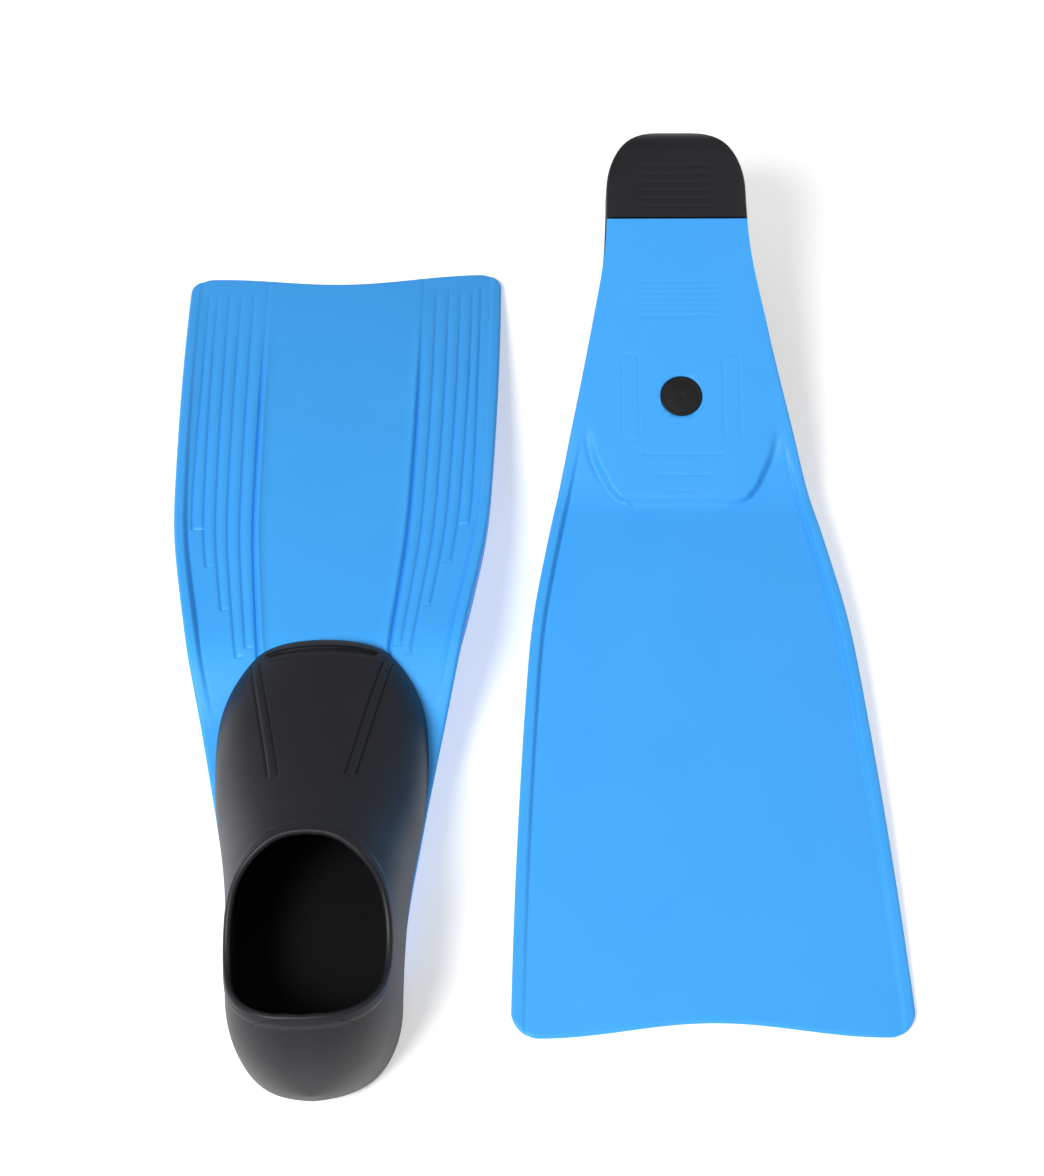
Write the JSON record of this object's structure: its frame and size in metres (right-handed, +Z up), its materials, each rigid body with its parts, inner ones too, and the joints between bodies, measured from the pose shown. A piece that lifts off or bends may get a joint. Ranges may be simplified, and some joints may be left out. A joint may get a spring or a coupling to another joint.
{
  "type": "swim fins",
  "caption": "Full-foot swim fins: long blue scooped blades with side rails and black rubber closed-heel foot pockets, one lying sole down and one sole up.",
  "frame": {"origin": "on the ground, under the middle of the box that holds both fins", "axes": "+Z up; +Y along the fins, from the heel of the fin that lies sole down towards its tip; +X to the right, from that fin to the one that lies sole up"},
  "size_m": [0.4602, 0.6619, 0.123],
  "materials": {
    "blue_moulding": "satin moulded thermoplastic",
    "black_rubber": "matt moulded thermoplastic rubber",
    "footbed_rubber": "matt moulded thermoplastic rubber",
    "plug_rubber": "matt moulded thermoplastic rubber"
  },
  "bodies": {
    "left_foot": {"left_sole_plate": "blue_moulding", "left_foot_pocket": "black_rubber", "left_footbed": "footbed_rubber", "left_sole_plug": "plug_rubber"},
    "left_blade": {"left_blade": "blue_moulding"},
    "left_heel": {"left_heel_cup": "black_rubber"},
    "right_foot": {"right_sole_plate": "blue_moulding", "right_foot_pocket": "black_rubber", "right_footbed": "footbed_rubber", "right_sole_plug": "plug_rubber"},
    "right_blade": {"right_blade": "blue_moulding"},
    "right_heel": {"right_heel_cup": "black_rubber"}
  },
  "joints": [
    {"name": "left_blade_flex", "type": "hinge", "parent": "left_foot", "child": "left_blade", "pos_m": [-0.11052, 0.02652, 0.04024], "axis": [0.9997, 0.0262, 0], "range_deg": [0, 30], "stiffness_Nm_per_rad": 20},
    {"name": "left_heel_stretch", "type": "hinge", "parent": "left_foot", "child": "left_heel", "pos_m": [-0.10124, -0.32778, 0.0122], "axis": [0.9997, 0.0262, 0], "range_deg": [0, 20], "stiffness_Nm_per_rad": 3},
    {"name": "right_fin_lift", "type": "slide", "parent": "left_foot", "child": "right_foot", "axis": [0, 0, 1], "range_m": [0, 0.25]},
    {"name": "right_blade_flex", "type": "hinge", "parent": "right_foot", "child": "right_blade", "pos_m": [0.11626, -0.01813, 0.01728], "axis": [-1, -0.0035, 0], "range_deg": [0, 30], "stiffness_Nm_per_rad": 20},
    {"name": "right_heel_stretch", "type": "hinge", "parent": "right_foot", "child": "right_heel", "pos_m": [0.11507, 0.32365, 0.11515], "axis": [1, 0.0035, 0], "range_deg": [0, 20], "stiffness_Nm_per_rad": 3}
  ]
}
